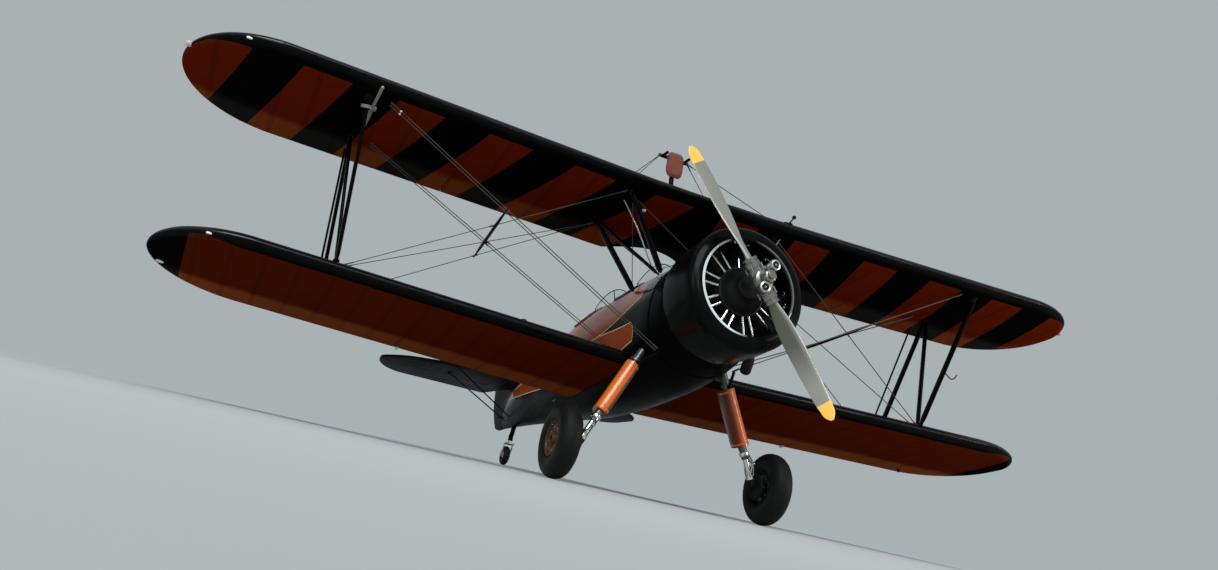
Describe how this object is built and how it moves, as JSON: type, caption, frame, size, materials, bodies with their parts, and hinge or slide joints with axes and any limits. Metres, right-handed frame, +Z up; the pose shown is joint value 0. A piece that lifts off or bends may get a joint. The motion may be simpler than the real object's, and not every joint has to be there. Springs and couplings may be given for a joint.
{
  "type": "tandem two-seat training biplane",
  "caption": "Open-cockpit training biplane with a round engine in a ring cowl, tail-wheel gear and a standing rig on the upper wing; propeller, wheels and control surfaces move.",
  "frame": {"origin": "on the floor, under the centre of the parked aircraft's outline", "axes": "+X to the left wing tip, +Y aft to the tail, +Z up; nose towards -Y"},
  "size_m": [9.7976, 7.603, 3.6692],
  "materials": {
    "wing_fabric": "doped fabric in gloss orange and black bands",
    "tail_fabric": "doped fabric in gloss black",
    "fuselage_skin": "gloss orange over black with cream lines",
    "cowl_paint": "gloss black enamel",
    "engine_metal": "dark finned barrels, bright pushrod tubes",
    "exhaust_steel": "heat-darkened",
    "strut_paint": "gloss black enamel",
    "wire_steel": "drawn streamline wire",
    "orange_enamel": "gloss bright orange",
    "oleo_chrome": "polished oleo tubes",
    "tyre_rubber": "black rubber",
    "blade_metal": "satin blades with yellow tips",
    "windscreen_glass": "clear sheet",
    "seat_cloth": "worn brown hide",
    "lamp_lens": "coloured lens"
  },
  "bodies": {
    "airframe": {"bracing_wires_left": "wire_steel", "bracing_wires_right": "wire_steel", "cabane_struts_left": "strut_paint", "cabane_struts_right": "strut_paint", "engine_ring_cowl": "cowl_paint", "exhaust_stack": "exhaust_steel", "fin": "tail_fabric", "fuselage_cabin": "fuselage_skin", "fuselage_tail_cone": "fuselage_skin", "gear_leg_cover_left": "orange_enamel", "gear_leg_cover_right": "orange_enamel", "gear_leg_left": "oleo_chrome", "gear_leg_right": "oleo_chrome", "lower_wing_left": "wing_fabric", "lower_wing_right": "wing_fabric", "nav_lamp_left": "lamp_lens", "nav_lamp_right": "lamp_lens", "nose_cowling": "cowl_paint", "rig_mast": "strut_paint", "rig_pad": "seat_cloth", "rig_stays_left": "wire_steel", "rig_stays_right": "wire_steel", "round_engine": "engine_metal", "seat_front": "seat_cloth", "seat_rear": "seat_cloth", "strut_arm": "wire_steel", "tail_brace_left": "strut_paint", "tail_brace_right": "strut_paint", "tailplane_left": "tail_fabric", "tailplane_right": "tail_fabric", "tailwheel_leg": "strut_paint", "upper_wing_centre": "wing_fabric", "upper_wing_left": "wing_fabric", "upper_wing_right": "wing_fabric", "windscreen_front": "windscreen_glass", "windscreen_rear": "windscreen_glass", "wing_struts_left": "strut_paint", "wing_struts_right": "strut_paint"},
    "propeller": {"propeller": "blade_metal"},
    "wheel_left": {"tyre_left": "tyre_rubber", "wheel_hub_left": "orange_enamel"},
    "wheel_right": {"tyre_right": "tyre_rubber", "wheel_hub_right": "orange_enamel"},
    "tailwheel_swivel": {"tailwheel_fork": "strut_paint"},
    "tailwheel_roller": {"tailwheel": "tyre_rubber"},
    "rudder": {"rudder": "tail_fabric"},
    "elevators": {"elevator_left": "tail_fabric", "elevator_right": "tail_fabric"},
    "lower_aileron_left": {"lower_aileron_left": "wing_fabric"},
    "lower_aileron_right": {"lower_aileron_right": "wing_fabric"},
    "upper_aileron_left": {"upper_aileron_left": "wing_fabric"},
    "upper_aileron_right": {"upper_aileron_right": "wing_fabric"},
    "slave_strut_left": {"slave_strut_left": "strut_paint"},
    "slave_strut_right": {"slave_strut_right": "strut_paint"}
  },
  "joints": [
    {"name": "propeller_spin", "type": "hinge", "parent": "airframe", "child": "propeller", "pos_m": [0, -3.60201, 1.9657], "axis": [0, 0.9782, -0.2078], "continuous": true},
    {"name": "wheel_spin_left", "type": "hinge", "parent": "airframe", "child": "wheel_left", "pos_m": [1.05, -2.54279, 0.33496], "axis": [1, 0, 0], "continuous": true},
    {"name": "wheel_spin_right", "type": "hinge", "parent": "airframe", "child": "wheel_right", "pos_m": [-1.05, -2.54279, 0.33496], "axis": [1, 0, 0], "continuous": true},
    {"name": "tailwheel_steer", "type": "hinge", "parent": "airframe", "child": "tailwheel_swivel", "pos_m": [0, 2.42302, 0.15398], "axis": [0, 0.2078, 0.9782], "range_deg": [-60, 60]},
    {"name": "tailwheel_spin", "type": "hinge", "parent": "tailwheel_swivel", "child": "tailwheel_roller", "pos_m": [0, 2.55018, 0.12696], "axis": [1, 0, 0], "continuous": true},
    {"name": "rudder_turn", "type": "hinge", "parent": "airframe", "child": "rudder", "pos_m": [0, 3.12653, 1.25174], "axis": [0, 0.2078, 0.9782], "range_deg": [-30, 30]},
    {"name": "elevator_tilt", "type": "hinge", "parent": "airframe", "child": "elevators", "pos_m": [0, 2.95719, 1.03214], "axis": [1, 0, 0], "range_deg": [-20, 27]},
    {"name": "aileron_lower_left", "type": "hinge", "parent": "airframe", "child": "lower_aileron_left", "pos_m": [3.23, -0.88772, 1.05271], "axis": [0.9995, 0.0065, 0.0307], "range_deg": [-20, 20]},
    {"name": "aileron_lower_right", "type": "hinge", "parent": "airframe", "child": "lower_aileron_right", "pos_m": [-3.23, -0.88772, 1.05271], "axis": [0.9995, -0.0065, -0.0307], "range_deg": [-20, 20]},
    {"name": "aileron_upper_left", "type": "hinge", "parent": "airframe", "child": "upper_aileron_left", "pos_m": [3.23, -1.21726, 2.65484], "axis": [0.9995, 0.0065, 0.0307], "range_deg": [-20, 20]},
    {"name": "aileron_upper_right", "type": "hinge", "parent": "airframe", "child": "upper_aileron_right", "pos_m": [-3.23, -1.21726, 2.65484], "axis": [0.9995, -0.0065, -0.0307], "range_deg": [-20, 20]},
    {"name": "slave_left", "type": "hinge", "parent": "lower_aileron_left", "child": "slave_strut_left", "pos_m": [3.2, -0.79169, 1.08581], "axis": [0.9995, 0.0065, 0.0307], "range_deg": [-20, 20]},
    {"name": "slave_right", "type": "hinge", "parent": "lower_aileron_right", "child": "slave_strut_right", "pos_m": [-3.2, -0.79169, 1.08581], "axis": [0.9995, -0.0065, -0.0307], "range_deg": [-20, 20]}
  ],
  "couplings": [
    {"joint": "aileron_lower_right", "follows": "aileron_lower_left", "ratio": -1},
    {"joint": "aileron_upper_left", "follows": "aileron_lower_left", "ratio": 1},
    {"joint": "aileron_upper_right", "follows": "aileron_lower_left", "ratio": -1},
    {"joint": "slave_left", "follows": "aileron_lower_left", "ratio": -1},
    {"joint": "slave_right", "follows": "aileron_lower_left", "ratio": 1}
  ]
}
